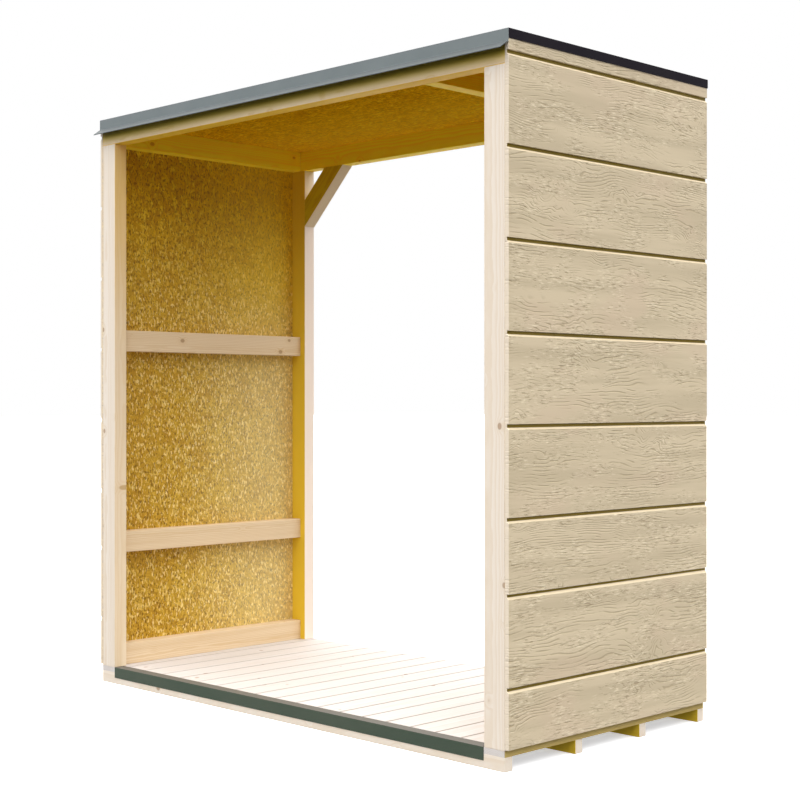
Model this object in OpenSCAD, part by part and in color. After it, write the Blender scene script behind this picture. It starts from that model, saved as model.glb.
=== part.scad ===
// Open-fronted log store: a timber frame on four bearers, clad at both ends, with a flat roof.
// X runs left to right, Y from the open front to the open back, Z up.
// The origin is on the ground, under the middle of the store.

/* [Frame] */
// Width over the outer faces of the posts
frame_w = 1532; // [1000:1:2400]
// Depth over the front and back faces of the posts
frame_d = 761; // [500:1:1200]
// Height of the posts, from the floor to the header
post_h = 1494; // [1240:1:2100]
// Wide face of the posts, rails, header, beam and braces
timber_w = 60; // [45:1:75]
// Narrow face of the posts, rails, header, beam and braces
timber_t = 40; // [28:1:60]

/* [Floor] */
// Height of a bearer
bearer_h = 32; // [30:1:60]
// Thickness of a bearer, front to back
bearer_t = 26; // [18:1:60]
// Number of floor boards
board_count = 19; // [8:1:30]
// Thickness of a floor board
board_t = 14; // [10:1:28]
// Gap between two floor boards
board_gap = 4; // [1:0.5:8]

/* [End walls] */
// Height of the upper rail's underside above the floor
upper_rail_z = 904; // [600:1:980]
// Distance from the joint between the cladding panels down to the lower rail's underside
joint_backing = 17; // [10:1:40]
// Leg of the open triangle between a brace, its post and the beam
brace_leg = 94; // [60:1:200]

/* [Cladding] */
// Thickness of a cladding panel
panel_t = 11; // [8:0.5:20]
// Height of an upper cladding panel
upper_panel_h = 1219; // [800:1:1450]
// Distance from the top of the roof deck down to the top of the cladding
panel_drop = 5; // [0:1:15]
// Distance from the floor up to the foot of the cladding
panel_lift = 3; // [0:1:15]
// Spacing of the grooves across a panel
groove_pitch = 203.2; // [100:0.1:250]
// Distance from the top of the upper panel to its first groove
first_groove = 37; // [20:0.5:90]
// Width of a groove across the panel
groove_w = 12; // [8:0.5:16]
// Depth of a groove
groove_depth = 5; // [2:0.5:6]
// Length of the slope at the lower side of a groove
groove_slope = 5; // [1:0.5:7]
// Length of the slope at the top of a lower panel
lip_slope = 6.5; // [1:0.5:7]

/* [Roof] */
// Distance from the outer face of the right posts to the middle of the rafter
rafter_inset = 263; // [150:1:450]
// Thickness of the roof deck
deck_t = 11; // [8:1:24]
// Thickness of the roofing membrane
membrane_t = 2.5; // [1.5:0.5:6]
// Thickness of the metal of the roof trims
trim_t = 1.5; // [1:0.5:4]
// Width of the flange of a roof trim, on top of the membrane
trim_flange = 40; // [20:1:80]
// Height of the outer face of the plain trims, over the sides and the back
plain_trim_h = 21.5; // [15:0.5:40]
// Height of the upright face of the front trim
front_trim_h = 27; // [20:0.5:42]
// Distance that the drip at the foot of the front trim stands out
drip_out = 24; // [4:1:60]
// Fall of that drip from the upright face to its outer edge
drip_fall = 17; // [2:0.5:25]
// Distance that each outer corner of the drip is cut back
drip_setback = 4; // [0:0.5:10]

/* [Floor edge trim] */
// Height of the front leg of the floor edge trim
edge_leg = 30; // [15:1:40]
// Depth of the flange of the floor edge trim
edge_flange = 32; // [15:1:60]
// Thickness of the metal of the floor edge trim
edge_t = 1; // [0.5:0.5:3]
// Gap between the floor edge trim and a post
edge_gap = 1; // [0.5:0.5:5]

/* [Hidden] */
floor_z = bearer_h + board_t;
header_z = floor_z + post_h;
deck_z = header_z + timber_w;
membrane_z = deck_z + deck_t;
roof_top = membrane_z + membrane_t + trim_t;

half_w = frame_w / 2;
half_d = frame_d / 2;
trim_half_w = half_w + panel_t + trim_t;
trim_half_d = half_d + trim_t;
drip_edge = trim_t / cos(atan2(drip_fall, drip_out));
drip_foot = front_trim_h + drip_fall + drip_edge;
// Only the front has a drip, so the frame stands this far behind the middle of the box.
frame_y = drip_out / 2;

bearer_count = 4;
bearer_pitch = (frame_d - bearer_t) / (bearer_count - 1);
board_w = (frame_w - (board_count - 1) * board_gap) / board_count;

bay_w = frame_w - 2 * timber_w;
rail_l = frame_d - 2 * timber_t;

panel_foot = floor_z + panel_lift;
panel_joint = membrane_z - panel_drop - upper_panel_h;
lower_panel_h = panel_joint - panel_foot;
lower_rail_z = panel_joint - joint_backing;

brace_outer = brace_leg + timber_w * sqrt(2);

cream = [0.93, 0.88, 0.80];
raw_wood = [0.84, 0.74, 0.58];
beige = [0.80, 0.73, 0.61];
strand_board = [0.70, 0.52, 0.26];
charcoal = [0.20, 0.20, 0.22];
slate_grey = [0.50, 0.54, 0.57];
near_black = [0.15, 0.14, 0.17];
dark_green = [0.27, 0.34, 0.29];

// A box centred on X and Y that stands on z = 0.
module bar(x, y, z) {
    translate([-x / 2, -y / 2, 0]) cube([x, y, z]);
}

// One side of the store is modelled on the right (+X) and mirrored for the left.
module at_side(side) {
    if (side == "left") mirror([1, 0, 0]) children();
    else children();
}

// One face of the store is modelled at the back (+Y) and mirrored for the front.
module at_face(face) {
    if (face == "front") mirror([0, 1, 0]) children();
    else children();
}

// Floor

// Bearer number i, counted from the front.
module bearer(i) {
    color(cream)
        translate([0, -half_d + bearer_t / 2 + i * bearer_pitch, 0])
        bar(frame_w, bearer_t, bearer_h);
}

module floor_boards() {
    color(cream)
        for (i = [0 : board_count - 1])
            translate([-half_w + i * (board_w + board_gap), -half_d, bearer_h])
            cube([board_w, frame_d, board_t]);
}

// Angle over the front edge of the floor, between the front posts.
module floor_edge_trim() {
    outline = [
        [0, edge_t], [edge_flange, edge_t], [edge_flange, 0],
        [edge_t, 0], [edge_t, edge_t - edge_leg], [0, edge_t - edge_leg]
    ];
    length = bay_w - 2 * edge_gap;
    color(dark_green)
        translate([-length / 2, -half_d - edge_t, floor_z])
        rotate([90, 0, 90]) linear_extrude(length) polygon(outline);
}

// Frame

module post(side, face) {
    color(cream)
        at_side(side) at_face(face)
        translate([half_w - timber_w, half_d - timber_t, floor_z])
        cube([timber_w, timber_t, post_h]);
}

module cross_beam(face) {
    color(raw_wood)
        at_face(face)
        translate([-half_w, half_d - timber_t, header_z])
        cube([frame_w, timber_t, timber_w]);
}

// Rail along an end wall, between the two posts or the two beams, against the cladding.
module rail(side, z) {
    color(raw_wood)
        at_side(side)
        translate([half_w - timber_t, -rail_l / 2, z])
        cube([timber_t, rail_l, timber_w]);
}

// Brace across the corner of a back post and the back beam, at 45 degrees.
module brace(side) {
    outline = [
        [0, -brace_outer], [0, -brace_leg], [-brace_leg, 0], [-brace_outer, 0]
    ];
    color(raw_wood)
        at_side(side)
        translate([half_w - timber_w, half_d, header_z])
        rotate([90, 0, 0]) linear_extrude(timber_t) polygon(outline);
}

// Cladding

// Corners of one groove in a panel's face, from its top edge down: a square step in, a flat
// bottom and a slope back out. The face is at x = panel_t and the groove's top is at z.
function groove(z) = [
    [panel_t, z],
    [panel_t - groove_depth, z],
    [panel_t - groove_depth, z - groove_w + groove_slope],
    [panel_t, z - groove_w]
];

// Top edge of a panel of height h that ends square, under the roof.
function square_top(h) = [[panel_t, h]];

// Top edge of a panel of height h that tucks under the panel above, as a half-open groove.
function tucked_top(h) = [
    [panel_t - groove_depth, h],
    [panel_t - groove_depth, h - groove_w + lip_slope],
    [panel_t, h - groove_w]
];

// Tops of a panel's grooves, from the first one down, clear of the panel's foot.
function groove_tops(first) = [for (z = [first : -groove_pitch : 2 * groove_w]) z];

// Panel seen from its front edge: height h, with a groove at each of the heights in tops.
module panel(h, top_edge, tops) {
    grooves = [for (z = tops) each groove(z)];
    outline = concat([[0, 0], [0, h]], top_edge, grooves, [[panel_t, 0]]);
    color(beige)
        translate([half_w, half_d, 0])
        rotate([90, 0, 0]) linear_extrude(frame_d) polygon(outline);
}

module upper_cladding(side) {
    tops = groove_tops(upper_panel_h - first_groove);
    at_side(side)
        translate([0, 0, panel_joint]) panel(upper_panel_h, square_top(upper_panel_h), tops);
}

module lower_cladding(side) {
    tops = groove_tops(lower_panel_h - groove_pitch);
    at_side(side)
        translate([0, 0, panel_foot]) panel(lower_panel_h, tucked_top(lower_panel_h), tops);
}

// Roof

// Rafter on edge, from the header to the back beam.
module rafter() {
    color(raw_wood)
        translate([half_w - rafter_inset, 0, header_z])
        bar(timber_t, rail_l, timber_w);
}

module roof_deck() {
    color(strand_board)
        translate([0, 0, deck_z]) bar(frame_w, frame_d, deck_t);
}

module roof_membrane() {
    color(charcoal)
        translate([0, 0, membrane_z]) bar(frame_w, frame_d, membrane_t);
}

// Plan of the right-hand trim, mitred at both ends.
module side_plan() {
    inner_w = trim_half_w - trim_flange;
    inner_d = trim_half_d - trim_flange;
    polygon([
        [trim_half_w, -trim_half_d], [trim_half_w, trim_half_d], [inner_w, inner_d], [inner_w, -inner_d]
    ]);
}

// Plan of the back trim, mitred at both ends. What stands out past its face is cut back.
module back_plan(out = 0) {
    inner_w = trim_half_w - trim_flange;
    inner_d = trim_half_d - trim_flange;
    outer_d = trim_half_d + out;
    mitred = [
        [-trim_half_w, trim_half_d], [-inner_w, inner_d],
        [inner_w, inner_d], [trim_half_w, trim_half_d]
    ];
    outer_w = trim_half_w - drip_setback;
    cut_back = [[outer_w, outer_d], [-outer_w, outer_d]];
    polygon(out > 0 ? concat(mitred, cut_back) : mitred);
}

// Section of a plain trim, an angle over the edge of the roof, from its upper outer corner.
module plain_section() {
    polygon([
        [0, 0], [0, -plain_trim_h], [-trim_t, -plain_trim_h],
        [-trim_t, -trim_t], [-trim_flange, -trim_t], [-trim_flange, 0]
    ]);
}

// Section of the front trim: an angle whose foot slopes out as a drip.
module drip_section() {
    polygon([
        [0, 0], [0, -front_trim_h],
        [drip_out, -front_trim_h - drip_fall], [drip_out, -drip_foot],
        [-trim_t, -front_trim_h - drip_edge + trim_t * drip_fall / drip_out],
        [-trim_t, -trim_t], [-trim_flange, -trim_t], [-trim_flange, 0]
    ]);
}

module side_trim(side) {
    color(near_black)
        at_side(side)
        intersection() {
            translate([trim_half_w, trim_half_d, roof_top])
                rotate([90, 0, 0]) linear_extrude(2 * trim_half_d) plain_section();
            translate([0, 0, roof_top - plain_trim_h]) linear_extrude(plain_trim_h) side_plan();
        }
}

module back_trim() {
    color(near_black)
        intersection() {
            translate([-trim_half_w, trim_half_d, roof_top])
                rotate([90, 0, 90]) linear_extrude(2 * trim_half_w) plain_section();
            translate([0, 0, roof_top - plain_trim_h]) linear_extrude(plain_trim_h) back_plan();
        }
}

module front_trim() {
    color(slate_grey)
        at_face("front")
        translate([0, 0, roof_top])
        intersection() {
            translate([-trim_half_w, trim_half_d, 0])
                rotate([90, 0, 90]) linear_extrude(2 * trim_half_w) drip_section();
            translate([0, 0, -drip_foot]) linear_extrude(drip_foot) back_plan(drip_out);
        }
}

translate([0, frame_y, 0]) {
    bearer(0);  // bearer_1
    bearer(1);  // bearer_2
    bearer(2);  // bearer_3
    bearer(3);  // bearer_4
    floor_boards();
    floor_edge_trim();
    post("left", "front");  // left_front_post
    post("left", "back");  // left_back_post
    post("right", "front");  // right_front_post
    post("right", "back");  // right_back_post
    rail("left", floor_z);  // left_bottom_rail
    rail("left", lower_rail_z);  // left_lower_rail
    rail("left", floor_z + upper_rail_z);  // left_upper_rail
    rail("left", header_z);  // left_top_rail
    rail("right", floor_z);  // right_bottom_rail
    rail("right", lower_rail_z);  // right_lower_rail
    rail("right", floor_z + upper_rail_z);  // right_upper_rail
    rail("right", header_z);  // right_top_rail
    upper_cladding("left");  // left_upper_cladding
    lower_cladding("left");  // left_lower_cladding
    upper_cladding("right");  // right_upper_cladding
    lower_cladding("right");  // right_lower_cladding
    cross_beam("front");  // front_header
    cross_beam("back");  // back_beam
    brace("left");  // left_brace
    brace("right");  // right_brace
    rafter();
    roof_deck();
    roof_membrane();
    front_trim();
    back_trim();
    side_trim("left");  // left_trim
    side_trim("right");  // right_trim
}
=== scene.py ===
"""Log store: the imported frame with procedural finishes, on a pale floor in soft studio light."""

import math

import bpy
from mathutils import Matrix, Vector


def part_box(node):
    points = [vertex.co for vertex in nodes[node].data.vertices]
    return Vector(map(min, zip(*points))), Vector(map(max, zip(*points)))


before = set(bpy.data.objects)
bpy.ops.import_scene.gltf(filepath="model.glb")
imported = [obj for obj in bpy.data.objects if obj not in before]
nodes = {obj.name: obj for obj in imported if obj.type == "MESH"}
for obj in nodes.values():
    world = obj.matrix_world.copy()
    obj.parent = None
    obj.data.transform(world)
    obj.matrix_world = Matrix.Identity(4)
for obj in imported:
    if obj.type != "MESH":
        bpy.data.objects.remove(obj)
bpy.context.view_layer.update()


# ---------------------------------------------------------------- material building

class Net:
    """One material, with short names for making and linking its nodes."""

    def __init__(self, name):
        self.material = bpy.data.materials.new(name)
        self.material.use_nodes = True
        self.tree = self.material.node_tree
        self.tree.nodes.clear()
        self.coords = self.node("TexCoord").outputs["Object"]
        split = self.node("SeparateXYZ")
        self.put(split.inputs[0], self.coords)
        self.x, self.y, self.z = split.outputs

    def node(self, kind, **settings):
        made = self.tree.nodes.new("ShaderNode" + kind)
        for key, value in settings.items():
            setattr(made, key, value)
        return made

    def put(self, socket, value):
        if isinstance(value, bpy.types.NodeSocket):
            self.tree.links.new(value, socket)
        else:
            socket.default_value = value

    def math(self, operation, *values):
        made = self.node("Math", operation=operation)
        for socket, value in zip(made.inputs, values):
            self.put(socket, value)
        return made.outputs[0]

    def add(self, a, b):
        return self.math("ADD", a, b)

    def sub(self, a, b):
        return self.math("SUBTRACT", a, b)

    def mul(self, a, b):
        return self.math("MULTIPLY", a, b)

    def blend(self, value, low, high):
        """0 where value is at low, 1 where it is at high, smooth between and flat beyond."""
        made = self.node("MapRange", interpolation_type="SMOOTHSTEP")
        self.put(made.inputs["Value"], value)
        self.put(made.inputs["From Min"], low)
        self.put(made.inputs["From Max"], high)
        return made.outputs[0]

    def between(self, value, low, high):
        """value from 0..1 to low..high."""
        return self.math("MULTIPLY_ADD", value, high - low, low)

    def xyz(self, x, y, z):
        made = self.node("CombineXYZ")
        for socket, value in zip(made.inputs, (x, y, z)):
            self.put(socket, value)
        return made.outputs[0]

    def noise(self, vector, scale=1.0, detail=2.0, roughness=0.5):
        made = self.node("TexNoise")
        self.put(made.inputs["Vector"], vector)
        self.put(made.inputs["Scale"], scale)
        self.put(made.inputs["Detail"], detail)
        self.put(made.inputs["Roughness"], roughness)
        return made.outputs[0]

    def voronoi(self, vector, flat=False, randomness=1.0):
        """The nearest cell, with cells a unit apart."""
        made = self.node("TexVoronoi", voronoi_dimensions="2D" if flat else "3D")
        self.put(made.inputs["Vector"], vector)
        self.put(made.inputs["Scale"], 1.0)
        self.put(made.inputs["Randomness"], randomness)
        return made

    def shift(self, vector, seed):
        made = self.node("VectorMath", operation="ADD")
        self.put(made.inputs[0], vector)
        self.put(made.inputs[1], (seed, seed * 0.37, seed * 0.71))
        return made.outputs[0]

    def random(self, vector):
        made = self.node("TexWhiteNoise", noise_dimensions="3D")
        self.put(made.inputs["Vector"], vector)
        return made.outputs[0]

    def mix(self, factor, a, b, blend_type="MIX"):
        made = self.node("Mix", data_type="RGBA", blend_type=blend_type, clamp_result=True)
        self.put(made.inputs[0], factor)
        self.put(made.inputs[6], colour(a))
        self.put(made.inputs[7], colour(b))
        return made.outputs[2]

    def mix_value(self, factor, a, b):
        made = self.node("Mix", data_type="FLOAT")
        self.put(made.inputs[0], factor)
        self.put(made.inputs[2], a)
        self.put(made.inputs[3], b)
        return made.outputs[0]

    def ramp(self, factor, stops):
        made = self.node("ValToRGB")
        self.put(made.inputs[0], factor)
        elements = made.color_ramp.elements
        while len(elements) < len(stops):
            elements.new(0.5)
        for element, (position, tint) in zip(elements, stops):
            element.position = position
            element.color = colour(tint)
        return made.outputs[0]

    def finish(self, base, roughness, height, relief, specular, glow=0.0):
        """The shader. relief is the depth in metres that height 0..1 stands for."""
        bump = self.node("Bump")
        self.put(bump.inputs["Strength"], 1.0)
        self.put(bump.inputs["Distance"], relief)
        self.put(bump.inputs["Height"], height)
        shader = self.node("BsdfPrincipled")
        self.put(shader.inputs["Base Color"], base)
        self.put(shader.inputs["Roughness"], roughness)
        self.put(shader.inputs["Specular IOR Level"], specular)
        self.put(shader.inputs["Emission Color"], (1.0, 1.0, 1.0, 1.0))
        self.put(shader.inputs["Emission Strength"], glow)
        self.put(shader.inputs["Normal"], bump.outputs[0])
        output = self.node("OutputMaterial")
        self.put(output.inputs[0], shader.outputs[0])
        return self.material


def colour(value):
    """A socket as it is, and a plain colour with its alpha."""
    if isinstance(value, bpy.types.NodeSocket):
        return value
    return (*value[:3], 1.0)


# How far the growth rings stray and the radius of a knot, in metres, and the number of
# cells to a metre of section that can each hold a knot.
RING_WANDER = 0.02
KNOT_SIZE = 0.006
KNOT_CELL = 14.0


def wood(net, along, across, through, seed, ring, pith, knot_gap):
    """Growth rings, fibres, knots and broad streaks of one piece of timber, each 0..1.

    along, across and through are coordinates in metres, centred on the piece. ring is the
    ring spacing, pith the place of the heart (across, through) and knot_gap the usual
    distance between knots.
    """
    shift = (seed * 7.31) % 50.0
    u = net.add(along, shift)
    place = net.xyz(net.mul(u, 1.0 / knot_gap), net.add(net.mul(across, KNOT_CELL), seed),
                    net.mul(through, KNOT_CELL))
    cell = net.voronoi(place, randomness=0.9)
    to_knot = net.node("VectorMath", operation="SUBTRACT")
    net.put(to_knot.inputs[0], place)
    net.put(to_knot.inputs[1], cell.outputs["Position"])
    in_metres = net.node("VectorMath", operation="MULTIPLY")
    net.put(in_metres.inputs[0], to_knot.outputs[0])
    net.put(in_metres.inputs[1], (knot_gap * 0.75, 1.0 / KNOT_CELL, 0.3 / KNOT_CELL))
    length = net.node("VectorMath", operation="LENGTH")
    net.put(length.inputs[0], in_metres.outputs[0])
    knot_distance = length.outputs["Value"]
    near_knot = net.blend(knot_distance, KNOT_SIZE * 3.2, KNOT_SIZE * 0.6)
    knot = net.blend(knot_distance, KNOT_SIZE * 1.15, KNOT_SIZE * 0.75)

    drift = net.noise(net.xyz(net.mul(u, 1.7), net.mul(across, 5.0), net.mul(through, 5.0)),
                      detail=3.0, roughness=0.55)
    drift = net.mul(net.sub(drift, 0.5), RING_WANDER)
    ripple = net.noise(net.xyz(net.mul(u, 12.0), net.mul(across, 40.0), net.mul(through, 40.0)),
                       detail=2.0)
    ripple = net.mul(net.sub(ripple, 0.5), ring * 1.2)
    a = net.add(net.sub(across, pith[0]), drift)
    t = net.sub(through, pith[1])
    radius = net.math("SQRT", net.add(net.mul(a, a), net.mul(t, t)))
    radius = net.add(net.add(radius, ripple), net.mul(near_knot, KNOT_SIZE * 0.9))
    turns = net.math("FRACT", net.mul(radius, 1.0 / ring))
    late = net.mul(net.blend(turns, 0.25, 0.85), net.blend(turns, 1.0, 0.9))

    fibre = net.noise(net.xyz(net.mul(u, 22.0), net.mul(across, 900.0), net.mul(through, 900.0)),
                      detail=2.0, roughness=0.6)
    streak = net.noise(net.xyz(net.mul(u, 1.6), net.mul(across, 45.0), net.mul(through, 45.0)),
                       detail=3.0, roughness=0.6)
    return {"late": late, "fibre": fibre, "streak": streak, "knot": knot,
            "near_knot": near_knot}


PINE_RING = 0.0042
PINE_KNOT_GAP = 0.33
WOOD_RELIEF = 0.0004


def pine(name, axes, seed, light, dark, box, tilt=None, shade=None):
    """Planed softwood. axes are the letters along, across and through the piece.

    tilt is 1 or -1 for a piece that leans 45 degrees one way or the other. shade is a
    function that tints the base colour by place.
    """
    net = Net(name)
    low, high = box
    middle = (low + high) / 2
    places = {"x": net.sub(net.x, middle.x), "y": net.sub(net.y, middle.y),
              "z": net.sub(net.z, middle.z)}
    if tilt:
        turned_x = net.mul(net.add(net.mul(places["x"], tilt), places["z"]), math.sqrt(0.5))
        turned_z = net.mul(net.sub(places["z"], net.mul(places["x"], tilt)), math.sqrt(0.5))
        places["x"], places["z"] = turned_x, turned_z
    along, across, through = (places[letter] for letter in axes)
    pith = (0.02 * math.sin(seed * 1.7), 0.028 + 0.02 * math.cos(seed * 2.3))
    grain = wood(net, along, across, through, seed, PINE_RING, pith, PINE_KNOT_GAP)
    base = net.mix(net.mul(grain["late"], 0.55), light, dark)
    base = net.mix(net.mul(net.blend(grain["streak"], 0.42, 0.78), 0.5), base, dark)
    base = net.mix(net.mul(net.blend(grain["fibre"], 0.5, 0.9), 0.25), base, dark)
    base = net.mix(net.mul(grain["near_knot"], 0.35), base, dark)
    base = net.mix(net.mul(grain["knot"], 0.6), base, KNOT)
    height = net.add(net.add(net.mul(grain["fibre"], 0.5), net.mul(grain["knot"], 0.2)),
                     net.mul(grain["late"], 0.25))
    roughness = net.between(grain["fibre"], 0.52, 0.72)
    if shade:
        base = shade(net, base, low, high)
    return net.finish(base, roughness, height, WOOD_RELIEF, specular=0.12)


# Layers of strands: lean in degrees, width and length in metres, and an offset that keeps
# the layers apart.
STRAND_LAYERS = ((5, 0.0075, 0.038, 0.0), (-14, 0.0060, 0.030, 3.7), (27, 0.0065, 0.026, 7.9),
                 (78, 0.0060, 0.022, 12.3))


def strands(net, across, up, depth):
    """Strands pressed flat, most of them upright: their rank, tint and edges, each 0..1."""
    ragged = net.noise(net.xyz(across, up, depth), scale=95.0, detail=2.0)
    best_rank, best_tint, best_edge = None, None, None
    for turn, wide, long, shift in STRAND_LAYERS:
        cos, sin = math.cos(math.radians(turn)), math.sin(math.radians(turn))
        p = net.add(net.mul(across, cos), net.mul(up, sin))
        q = net.sub(net.mul(up, cos), net.mul(across, sin))
        p = net.add(net.mul(p, 1.0 / wide), net.mul(ragged, 1.3))
        q = net.add(net.mul(q, 1.0 / long), shift)
        cell = net.voronoi(net.xyz(p, q, shift), flat=True)
        tint = net.node("SeparateColor")
        net.put(tint.inputs[0], cell.outputs["Color"])
        rank = tint.outputs[0]
        edge = cell.outputs["Distance"]
        if best_rank is None:
            best_rank, best_tint, best_edge = rank, tint.outputs[1], edge
            continue
        over = net.math("GREATER_THAN", rank, best_rank)
        best_tint = net.mix_value(over, best_tint, tint.outputs[1])
        best_edge = net.mix_value(over, best_edge, edge)
        best_rank = net.math("MAXIMUM", rank, best_rank)
    return best_rank, best_tint, best_edge


STRAND_TINTS = ((0.0, (0.46, 0.25, 0.015)), (0.45, (0.58, 0.35, 0.025)),
                (0.8, (0.70, 0.46, 0.06)), (1.0, (0.84, 0.64, 0.20)))
STRAND_CLOUD = (0.68, 0.47, 0.06)
STRAND_FIBRE = (0.42, 0.24, 0.012)
STRAND_EDGE = (0.28, 0.14, 0.008)
STRAND_FLECK = (0.95, 0.78, 0.34)
STRAND_SPECK = (0.17, 0.085, 0.004)
PAINTED_ROOF_SHADE_TINT = (1.0, 0.91, 0.12)
PAINTED_BACK_LIGHT_HIGH = (1.0, 0.71, 0.05)
PAINTED_BACK_LIGHT_LOW = (0.98, 0.86, 0.50)
PAINTED_LOW_FRONT_SHADE = (0.88, 0.78, 0.60)


def strand_board(net, across, up, depth, contrast=1.0):
    """Colour, roughness and height of bare strand board.

    Painted shade makes it a deeper gold towards the roof and duller low down in front, and
    painted light makes it paler towards the back.
    contrast is the strength of its dark specks.
    """
    roof_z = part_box("roof_deck")[0].z
    rank, tint, edge = strands(net, across, up, depth)
    fine = net.noise(net.xyz(net.mul(across, 420.0), net.mul(up, 110.0), depth), detail=2.0)
    speck = net.noise(net.xyz(net.mul(across, 210.0), net.mul(up, 105.0), depth), detail=2.0)
    fleck = net.noise(net.xyz(net.mul(across, 190.0), net.mul(up, 70.0), net.add(depth, 5.0)),
                      detail=2.0)
    cloud = net.noise(net.xyz(across, up, depth), scale=9.0, detail=3.0)
    base = net.ramp(tint, STRAND_TINTS)
    base = net.mix(net.mul(net.blend(cloud, 0.35, 0.7), 0.35), base, STRAND_CLOUD)
    base = net.mix(net.mul(net.blend(fine, 0.45, 0.75), 0.5), base, STRAND_FIBRE)
    base = net.mix(net.mul(net.blend(edge, 0.35, 0.62), 0.35), base, STRAND_EDGE)
    low_down = net.between(net.blend(net.z, roof_z - 0.10, roof_z - 0.65), 0.25 * contrast, 0.85)
    base = net.mix(net.mul(net.blend(fleck, 0.56, 0.66), low_down), base, STRAND_FLECK)
    specks = net.mul(net.blend(speck, 0.55, 0.64), 0.8 * contrast)
    base = net.mix(specks, base, STRAND_SPECK)
    # Painted shade: the board turns a deeper gold towards the roof.
    painted_shade_high_up = net.blend(net.z, roof_z - 0.65, roof_z - 0.15)
    base = net.mix(painted_shade_high_up, base, PAINTED_ROOF_SHADE_TINT, "MULTIPLY")
    low = net.blend(net.z, roof_z - 0.35, roof_z - 0.80)
    # Painted light from the open back: the board is paler towards the back.
    painted_back_light = net.mix(low, PAINTED_BACK_LIGHT_HIGH, PAINTED_BACK_LIGHT_LOW)
    base = net.mix(net.mul(net.blend(net.y, -0.15, 0.30), 0.28), base, painted_back_light)
    # Painted shade: the board is duller low down in front.
    painted_low_front_shade = net.mul(net.mul(net.blend(net.y, 0.10, -0.25), low), 0.6)
    base = net.mix(painted_low_front_shade, base, PAINTED_LOW_FRONT_SHADE, "MULTIPLY")
    height = net.add(net.mul(rank, 0.8), net.mul(fine, 0.2))
    roughness = net.between(tint, 0.55, 0.75)
    return base, roughness, height


# ---------------------------------------------------------------- the finishes

POST_LIGHT = (0.83, 0.74, 0.64)
POST_DARK = (0.74, 0.61, 0.46)
FRAME_LIGHT = (0.80, 0.64, 0.44)
FRAME_DARK = (0.66, 0.46, 0.24)
KNOT = (0.30, 0.15, 0.06)

# Painted shade under the roof on pine, and painted light on a back post's inner face and a
# brace's lower edge. The first four are tints, the rest multiply.
GOLDEN = (0.80, 0.54, 0.04)
WARM_GOLDEN = (0.90, 0.58, 0.12)
HEADER_GOLDEN = (0.95, 0.62, 0.06)
BACK_POST_LIT_INNER = (0.97, 0.84, 0.73)
GOLDEN_TIMBER = (1.46, 1.30, 0.08)
GOLDEN_BRACE = (0.82, 0.80, 0.05)
PAINTED_LIGHT_EDGE = (1.2, 1.28, 1.35)

# The header's two bands of shade under the drip.
HEADER_YELLOW = (0.74, 0.54, 0.04)
HEADER_DEEP = (0.05, 0.04, 0.005)


def on_face(net, value, face, inward, reach=0.0012, full=0.0004):
    """1 on a face of a piece and 0 from reach metres inside it.

    inward is the sign of the direction from the face into the piece.
    """
    return net.blend(value, face + inward * reach, face + inward * full)


def header_shade(net, base, low, high):
    """The header yellows and darkens towards the drip, and is golden behind and below."""
    yellow = net.mul(net.blend(net.z, high.z - 0.062, high.z - 0.030), 0.95)
    base = net.mix(yellow, base, HEADER_YELLOW)
    deep = net.mul(net.blend(net.z, high.z - 0.044, high.z - 0.026), 0.74)
    base = net.mix(deep, base, HEADER_DEEP)
    sheltered = net.math("MAXIMUM", on_face(net, net.y, high.y, -1, 0.0015, 0.0005),
                         on_face(net, net.z, low.z, 1, 0.0015, 0.0005))
    return net.mix(sheltered, base, HEADER_GOLDEN)


def front_shade(net, base, low, high):
    """The front of a piece that stands back in the shade."""
    return net.mix(on_face(net, net.y, low.y, 1), base, GOLDEN)


def inner_face(net, low, high):
    """1 on the face towards the middle of the store."""
    inner = min(abs(low.x), abs(high.x))
    return on_face(net, net.math("ABSOLUTE", net.x), inner, 1)


def front_post_shade(net, base, low, high):
    """The inner face turns golden towards the roof."""
    golden = net.between(net.blend(net.z, high.z - 0.65, high.z - 0.05), 0.25, 0.75)
    return net.mix(net.mul(inner_face(net, low, high), golden), base, WARM_GOLDEN)


def back_post_shade(net, base, low, high):
    """The front is in the shade, and the inner face is lit from behind."""
    base = net.mix(inner_face(net, low, high), base, BACK_POST_LIT_INNER)
    return front_shade(net, base, low, high)


def roof_shade(net, base, low, high):
    """Timber under the roof is golden, but for its back, which is in the open."""
    sheltered = net.blend(net.y, high.y - 0.0004, high.y - 0.0012)
    return net.mix(sheltered, base, GOLDEN_TIMBER, "MULTIPLY")


def brace_shade(net, base, low, high):
    """A brace has painted golden shade in front, plain pine behind and pale painted light along
    its lower edge.
    """
    outer = max(abs(low.x), abs(high.x))
    fall = net.add(net.sub(outer, net.math("ABSOLUTE", net.x)), net.sub(high.z, net.z))
    whole_fall = high.z - low.z
    lower_edge = net.blend(fall, whole_fall - 0.0022, whole_fall - 0.0008)
    sheltered = net.blend(net.y, high.y - 0.0004, high.y - 0.0012)
    golden = net.mul(sheltered, net.sub(1.0, lower_edge))
    base = net.mix(golden, base, GOLDEN_BRACE, "MULTIPLY")
    # Painted light: the lower edge is paler than plain pine.
    return net.mix(lower_edge, base, PAINTED_LIGHT_EDGE, "MULTIPLY")


def give(node, material):
    """Makes this the node's only material."""
    slots = nodes[node].data.materials
    slots.clear()
    slots.append(material)


# Spacing of the embossed lines, in metres.
LINE_PITCH = 0.0072


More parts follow.
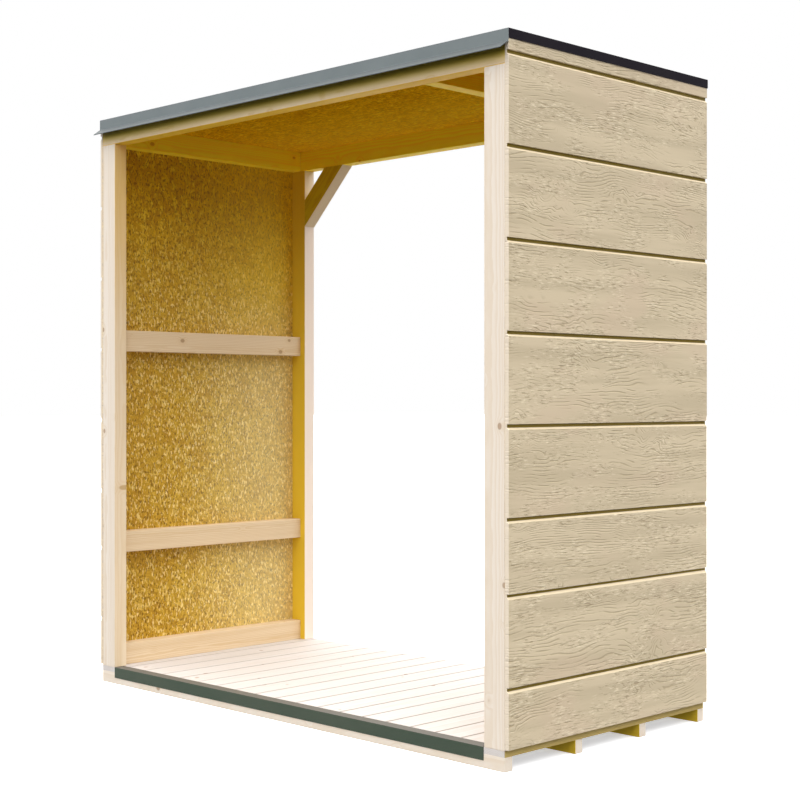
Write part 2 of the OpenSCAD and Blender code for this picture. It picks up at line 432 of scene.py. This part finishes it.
def embossing(net, along, across, own):
    """Lines, short cuts and broad patches of a pressed wood-grain face, each 0..1."""
    sweep = net.noise(net.xyz(net.mul(along, 2.0), net.mul(across, 5.5), own), detail=3.0)
    swirl = net.noise(net.xyz(net.mul(along, 11.0), net.mul(across, 13.0), own), detail=2.0)
    swirly = net.blend(net.noise(net.xyz(net.mul(along, 4.5), net.mul(across, 9.0),
                                         net.add(own, 3.0)), detail=1.0), 0.50, 0.66)
    warp = net.add(net.mul(net.sub(sweep, 0.5), 0.13),
                   net.mul(net.mul(net.sub(swirl, 0.5), swirly), 0.12))
    turns = net.math("FRACT", net.mul(net.add(across, warp), 1.0 / LINE_PITCH))
    line = net.mul(net.blend(turns, 0.35, 0.62), net.blend(turns, 0.85, 0.68))
    broken = net.noise(net.xyz(net.mul(along, 20.0), net.mul(across, 80.0), own), detail=2.0)
    some = net.noise(net.xyz(net.mul(along, 5.0), net.mul(across, 16.0), net.add(own, 7.0)),
                     detail=2.0)
    line = net.mul(net.mul(line, net.blend(broken, 0.40, 0.54)), net.blend(some, 0.40, 0.56))
    cut = net.noise(net.xyz(net.mul(along, 45.0), net.mul(across, 270.0), own), detail=2.0,
                    roughness=0.6)
    grouped = net.blend(net.noise(net.xyz(net.mul(along, 8.0), net.mul(across, 22.0),
                                          net.add(own, 11.0)), detail=2.0), 0.40, 0.60)
    dark_cut = net.mul(net.blend(cut, 0.56, 0.66), grouped)
    light_cut = net.mul(net.blend(cut, 0.44, 0.34), grouped)
    streak = net.noise(net.xyz(net.mul(along, 1.8), net.mul(across, 26.0), own), detail=3.0)
    return line, dark_cut, light_cut, streak


# Distance between grooves, and from the top of the upper panel to its first groove.
GROOVE_PITCH = 0.2032
FIRST_GROOVE = 0.037
PAINT_LOW = (0.505, 0.418, 0.282)
PAINT_HIGH = (0.600, 0.500, 0.345)
PAINT_PATCH = (0.575, 0.450, 0.320)
PAINT_LINE = (0.27, 0.205, 0.11)
PAINT_CUT = (0.27, 0.20, 0.11)
PAINT_LIGHT_CUT = (0.76, 0.67, 0.49)
LIP_HIGHLIGHT = (0.71, 0.59, 0.40)
GROOVE_SHADE_AND_DIRT = (0.16, 0.110, 0.008)
CUT_END = (0.78, 0.67, 0.53)


def cladding(node, first_groove_top, seed):
    """Embossed, factory-painted boards outside, and bare strand board on the inner face.

    first_groove_top is the height of the top of a groove, which the boards are counted from.
    """
    net = Net("cladding_" + node)
    low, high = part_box(node)
    inner = min(abs(low.x), abs(high.x))
    outer = max(abs(low.x), abs(high.x))
    distance = net.math("ABSOLUTE", net.x)
    board = net.math("FLOOR", net.mul(net.sub(net.z, first_groove_top), 1.0 / GROOVE_PITCH))
    middle = net.add(net.mul(net.add(board, 0.5), GROOVE_PITCH), first_groove_top)
    own = net.mul(net.random(net.xyz(board, seed, 1.5)), 20.0)
    along = net.add(net.y, net.mul(own, 2.0))
    across = net.sub(net.z, middle)
    line, dark_cut, light_cut, streak = embossing(net, along, across, own)
    patch = net.noise(net.xyz(net.mul(along, 4.0), net.mul(across, 7.0), own), detail=3.0)
    paint = net.mix(net.blend(streak, 0.34, 0.66), PAINT_LOW, PAINT_HIGH)
    paint = net.mix(net.mul(net.blend(patch, 0.52, 0.68), 0.5), paint, PAINT_PATCH)
    paint = net.mix(net.mul(line, 0.42), paint, PAINT_LINE)
    paint = net.mix(net.mul(dark_cut, 0.52), paint, PAINT_CUT)
    paint = net.mix(net.mul(light_cut, 0.60), paint, PAINT_LIGHT_CUT)
    # Painted highlight on the groove's sloping lip.
    lip_highlight = net.blend(distance, outer - 0.0003, outer - 0.0008)
    paint = net.mix(net.mul(lip_highlight, 0.85), paint, LIP_HIGHLIGHT)
    part_of_board = net.math("FRACT", net.mul(net.sub(net.z, first_groove_top),
                                              1.0 / GROOVE_PITCH))
    height_on_board = net.mul(part_of_board, GROOVE_PITCH)
    # Painted shade with some dirt in the groove and under the overhanging step above it.
    overhang = net.mul(net.blend(distance, outer - 0.0010, outer - 0.0018),
                       net.blend(height_on_board, GROOVE_PITCH - 0.0062, GROOVE_PITCH - 0.0054))
    groove = net.math("MAXIMUM", overhang, net.blend(distance, outer - 0.0042, outer - 0.0048))
    paint = net.mix(groove, paint, GROOVE_SHADE_AND_DIRT)
    far = net.math("ABSOLUTE", net.sub(net.y, (low.y + high.y) / 2))
    half_length = (high.y - low.y) / 2
    cut_end = net.blend(far, half_length - 0.0009, half_length - 0.0004)
    paint = net.mix(cut_end, paint, CUT_END)
    height = net.sub(0.0, net.add(net.mul(line, 0.6), net.mul(dark_cut, 0.6)))
    height = net.add(height, net.mul(streak, 0.3))
    back, back_roughness, back_height = strand_board(net, net.y, net.z, distance)
    is_back = net.math("LESS_THAN", distance, inner + 0.0006)
    base = net.mix(is_back, paint, back)
    roughness = net.mix_value(is_back, net.between(streak, 0.5, 0.68), back_roughness)
    height = net.mix_value(is_back, height, back_height)
    give(node, net.finish(base, roughness, height, 0.0008, specular=0.2))


def painted_metal(name, tint, worn, sheen, seed, long_axis, gloss=0.3, retint=None):
    """Coated sheet metal with faint rolling streaks, clouding and grit.

    sheen is its lowest roughness and gloss its specular level. The last argument is a
    function that tints part of it.
    """
    net = Net(name)
    stretch = {"x": (4.0, 90.0, 90.0), "y": (90.0, 4.0, 90.0)}[long_axis]
    streak = net.noise(net.xyz(*(net.mul(c, s) for c, s in zip((net.x, net.y, net.z), stretch))),
                       detail=3.0, roughness=0.6)
    cloud = net.noise(net.shift(net.coords, seed), scale=7.0, detail=4.0)
    grit = net.noise(net.coords, scale=900.0, detail=1.0)
    base = net.mix(net.mul(net.blend(cloud, 0.35, 0.75), 0.35), tint, worn)
    base = net.mix(net.mul(net.blend(streak, 0.55, 0.85), 0.30), base, worn)
    base = net.mix(net.mul(net.blend(grit, 0.62, 0.75), 0.25), base, worn)
    if retint:
        base = retint(net, base)
    roughness = net.between(net.add(net.mul(streak, 0.5), net.mul(grit, 0.5)), sheen, sheen + 0.2)
    height = net.add(net.mul(cloud, 0.8), net.mul(grit, 0.2))
    return net.finish(base, roughness, height, 0.0002, specular=gloss)


POST = (POST_LIGHT, POST_DARK)
FRAME = (FRAME_LIGHT, FRAME_DARK)


def timber(node, seed):
    """The material of a piece of timber, or None for any other node."""
    name = "wood_" + node
    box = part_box(node)
    if node.startswith("bearer"):
        shade = None if node == "bearer_1" else front_shade
        return pine(name, "xzy", seed, *POST, box, shade=shade)
    if node.endswith("_post"):
        shade = back_post_shade if "back" in node else front_post_shade
        return pine(name, "zxy", seed, *POST, box, shade=shade)
    if node.endswith("_top_rail") or node == "rafter":
        return pine(name, "yzx", seed, *FRAME, box, shade=roof_shade)
    if node.endswith("_rail"):
        return pine(name, "yzx", seed, *FRAME, box)
    if node == "back_beam":
        return pine(name, "xzy", seed, *FRAME, box, shade=roof_shade)
    if node == "front_header":
        return pine(name, "xzy", seed, *FRAME, box, shade=header_shade)
    if node.endswith("_brace"):
        side = 1.0 if node.startswith("left") else -1.0
        return pine(name, "xzy", seed, *FRAME, box, tilt=side, shade=brace_shade)
    return None


FIRST_SEED = 3.0
SEED_STEP = 1.37
for number, node in enumerate(sorted(nodes)):
    material = timber(node, FIRST_SEED + SEED_STEP * number)
    if material:
        give(node, material)

joint_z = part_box("right_upper_cladding")[0].z
top_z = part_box("right_upper_cladding")[1].z
for number, side in enumerate(("left", "right")):
    cladding(side + "_upper_cladding", top_z - FIRST_GROOVE, 11.0 + number)
    cladding(side + "_lower_cladding", joint_z - GROOVE_PITCH, 17.0 + number)


BOARD_COUNT = 19
BOARD_GAP = 0.004
BOARD_RING = 0.0045
BOARD_KNOT_GAP = 0.35
BOARD_LIGHT = (0.67, 0.63, 0.61)
BOARD_DARK = (0.60, 0.53, 0.47)
BOARD_JOINT = (0.24, 0.19, 0.165)
BOARD_END_SHADE = (0.49, 0.36, 0.12)


def floor_boards():
    """Pale planed boards, each with its own grain, with shaded joints."""
    net = Net("wood_floor_boards")
    low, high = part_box("floor_boards")
    pitch = (high.x - low.x + BOARD_GAP) / BOARD_COUNT
    first = low.x - BOARD_GAP / 2
    board = net.math("FLOOR", net.mul(net.sub(net.x, first), 1.0 / pitch))
    middle = net.add(net.mul(net.add(board, 0.5), pitch), first)
    own = net.random(net.xyz(board, 2.5, 1.5))
    along = net.add(net.y, net.mul(own, 60.0))
    across = net.add(net.sub(net.x, middle), net.mul(net.sub(own, 0.5), 0.05))
    grain = wood(net, along, across, net.sub(net.z, low.z), 5.0, BOARD_RING, (0.0, -0.02),
                 BOARD_KNOT_GAP)
    base = net.mix(net.mul(grain["late"], 0.5), BOARD_LIGHT, BOARD_DARK)
    base = net.mix(net.mul(net.blend(grain["streak"], 0.42, 0.78), 0.45), base, BOARD_DARK)
    base = net.mix(net.mul(net.blend(own, 0.3, 1.0), 0.25), base, BOARD_DARK)
    base = net.mix(net.mul(grain["knot"], 0.7), base, KNOT)
    edge = (pitch - BOARD_GAP) / 2
    from_middle = net.math("ABSOLUTE", net.sub(net.x, middle))
    joint = net.blend(from_middle, edge - 0.0020, edge - 0.0008)
    base = net.mix(net.mul(joint, 0.30), base, BOARD_JOINT)
    # Painted shade on the boards' outer ends, under the cladding's overhang.
    side = net.blend(net.math("ABSOLUTE", net.x), high.x - 0.0005, high.x - 0.0002)
    base = net.mix(side, base, BOARD_END_SHADE)
    height = net.add(net.mul(grain["fibre"], 0.6), net.mul(grain["late"], 0.3))
    roughness = net.between(grain["fibre"], 0.5, 0.7)
    give("floor_boards", net.finish(base, roughness, height, WOOD_RELIEF, specular=0.15))


# What the shade under the roof multiplies the deck's colour by.
GOLDEN_DECK = (1.38, 1.28, 1.1)


def roof_deck():
    """Strand board with soft specks, golden in the shade."""
    net = Net("board_roof_deck")
    base, roughness, height = strand_board(net, net.y, net.x, net.z, contrast=0.45)
    base = net.mix(1.0, base, GOLDEN_DECK, "MULTIPLY")
    give("roof_deck", net.finish(base, roughness, height, 0.0006, specular=0.0))


MEMBRANE_TINTS = ((0.3, (0.018, 0.018, 0.020)), (0.55, (0.045, 0.046, 0.050)),
                  (0.75, (0.12, 0.12, 0.13)))
MEMBRANE_DUST = (0.08, 0.078, 0.072)


def roof_membrane():
    """Gritty mineral felt."""
    net = Net("roofing_membrane")
    grit = net.noise(net.coords, scale=1500.0, detail=2.0, roughness=0.7)
    cloud = net.noise(net.coords, scale=5.0, detail=4.0)
    base = net.ramp(grit, MEMBRANE_TINTS)
    base = net.mix(net.mul(cloud, 0.3), base, MEMBRANE_DUST)
    roughness = net.between(grit, 0.75, 0.95)
    give("roof_membrane", net.finish(base, roughness, grit, 0.0008, specular=0.25))


floor_boards()
roof_deck()
roof_membrane()


GREY = (0.148, 0.174, 0.180)
WORN_GREY = (0.205, 0.232, 0.235)
DRIP_SHADE = (0.070, 0.081, 0.083)
BLACK = (0.010, 0.008, 0.012)
WORN_BLACK = (0.020, 0.017, 0.020)
GREEN = (0.046, 0.066, 0.046)
WORN_GREEN = (0.080, 0.092, 0.066)
FLANGE_GREY = (0.136, 0.126, 0.106)


def painted_drip_shade(net, base):
    """The drip is painted darker than the upright face above it: painted shade."""
    back_of_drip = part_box("right_trim")[0].y
    drip = net.blend(net.y, back_of_drip - 0.0001, back_of_drip - 0.0016)
    # Painted shade on the drip.
    return net.mix(drip, base, DRIP_SHADE)


def grey_flange(net, base):
    """The flange is painted a paler grey than the green leg below it."""
    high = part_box("floor_edge_trim")[1]
    flange = net.blend(net.z, high.z - 0.0006, high.z - 0.0003)
    return net.mix(flange, base, FLANGE_GREY)


give("front_trim", painted_metal("metal_front_trim", GREY, WORN_GREY, 0.45, 3.0, "x",
                                 retint=painted_drip_shade))
for node, axis in (("back_trim", "x"), ("left_trim", "y"), ("right_trim", "y")):
    give(node, painted_metal("metal_" + node, BLACK, WORN_BLACK, 0.6, 9.0, axis, gloss=0.04))
give("floor_edge_trim", painted_metal("metal_floor_edge", GREEN, WORN_GREEN, 0.5, 14.0, "x",
                                      gloss=0.15, retint=grey_flange))


# ---------------------------------------------------------------- eased edges

def ease(node, width, segments=2):
    """Rounds the node's edges without touching its mesh."""
    weld = nodes[node].modifiers.new("weld", "WELD")
    weld.merge_threshold = 0.00001
    bevel = nodes[node].modifiers.new("ease", "BEVEL")
    bevel.width = width
    bevel.segments = segments
    bevel.limit_method = "ANGLE"
    bevel.angle_limit = math.radians(30)
    bevel.harden_normals = False


for node in nodes:
    if "post" in node or "rail" in node or node in ("front_header", "back_beam", "rafter"):
        ease(node, 0.0015)
    elif "brace" in node or "bearer" in node or node == "floor_boards":
        ease(node, 0.0010)
    elif "cladding" in node:
        ease(node, 0.0005, 1)


# ---------------------------------------------------------------- floor, light and camera

SKY_STRENGTH = 3.6
# (height from straight down 0 to straight up 1, brightness)
SKY = ((0.0, 0.03), (0.47, 0.04), (0.52, 0.14), (0.75, 0.62), (1.0, 1.0))


STUDIO_PALE = (0.93, 0.93, 0.93)
STUDIO_GLOW = 0.45


def studio_paint():
    net = Net("studio_floor")
    cloud = net.noise(net.coords, scale=1.3, detail=3.0)
    base = net.mix(cloud, STUDIO_PALE, tuple(0.99 * part for part in STUDIO_PALE))
    return net.finish(base, 0.9, cloud, 0.0001, specular=0.1, glow=STUDIO_GLOW)


def studio_floor():
    """A wide pale floor. Diffuse light ignores it, so the ground shadow stays faint."""
    mesh = bpy.data.meshes.new("studio_floor")
    reach = 60.0
    corners = [(-reach, -reach, 0), (reach, -reach, 0), (reach, reach, 0), (-reach, reach, 0)]
    mesh.from_pydata(corners, [], [(0, 1, 2, 3)])
    floor = bpy.data.objects.new("studio_floor", mesh)
    bpy.context.scene.collection.objects.link(floor)
    mesh.materials.append(studio_paint())
    floor.visible_diffuse = False


def key_light():
    """A soft panel above and to the front."""
    place = Vector((3.2, -3.6, 4.2))
    aim = Vector((0, 0, 0.6))
    data = bpy.data.lights.new("key_light", "AREA")
    data.shape = "SQUARE"
    data.size = 3.0
    data.energy = 25
    light = bpy.data.objects.new("key_light", data)
    light.location = place
    light.visible_camera = False
    light.rotation_euler = (aim - place).to_track_quat("-Z", "Y").to_euler()
    bpy.context.scene.collection.objects.link(light)


def studio_light():
    """A bright soft ceiling that fades towards the horizon, over a dim lower half."""
    world = bpy.data.worlds.new("studio")
    bpy.context.scene.world = world
    world.use_nodes = True
    tree = world.node_tree
    tree.nodes.clear()
    link = tree.links.new
    direction = tree.nodes.new("ShaderNodeTexCoord")
    split = tree.nodes.new("ShaderNodeSeparateXYZ")
    link(direction.outputs["Generated"], split.inputs[0])
    ceiling = tree.nodes.new("ShaderNodeValToRGB")
    half = tree.nodes.new("ShaderNodeMath")
    half.operation = "MULTIPLY_ADD"
    half.inputs[1].default_value = 0.5
    half.inputs[2].default_value = 0.5
    link(split.outputs["Z"], half.inputs[0])
    link(half.outputs[0], ceiling.inputs[0])
    elements = ceiling.color_ramp.elements
    while len(elements) < len(SKY):
        elements.new(0.5)
    for element, (position, level) in zip(elements, SKY):
        element.position = position
        element.color = (level, level, level, 1.0)
    lit = tree.nodes.new("ShaderNodeBackground")
    lit.inputs["Strength"].default_value = SKY_STRENGTH
    link(ceiling.outputs[0], lit.inputs["Color"])
    seen = tree.nodes.new("ShaderNodeBackground")
    seen.inputs["Color"].default_value = (1.0, 1.0, 1.0, 1.0)
    path = tree.nodes.new("ShaderNodeLightPath")
    choice = tree.nodes.new("ShaderNodeMixShader")
    link(path.outputs["Is Camera Ray"], choice.inputs[0])
    link(lit.outputs[0], choice.inputs[1])
    link(seen.outputs[0], choice.inputs[2])
    output = tree.nodes.new("ShaderNodeOutputWorld")
    link(choice.outputs[0], output.inputs[0])


LENS = 68.54
CAMERA_PLACE = (2.942, -2.8657, 0.809)
CAMERA_TURN = (math.radians(90), 0, math.radians(45))


def camera():
    """Level, at the height of the middle of the store, looking at its near corner."""
    data = bpy.data.cameras.new("camera")
    data.sensor_width = 36.0
    data.lens = LENS
    made = bpy.data.objects.new("camera", data)
    made.location = CAMERA_PLACE
    made.rotation_euler = CAMERA_TURN
    bpy.context.scene.collection.objects.link(made)
    bpy.context.scene.camera = made


studio_floor()
studio_light()
key_light()
camera()
bpy.context.scene.view_settings.view_transform = "Standard"
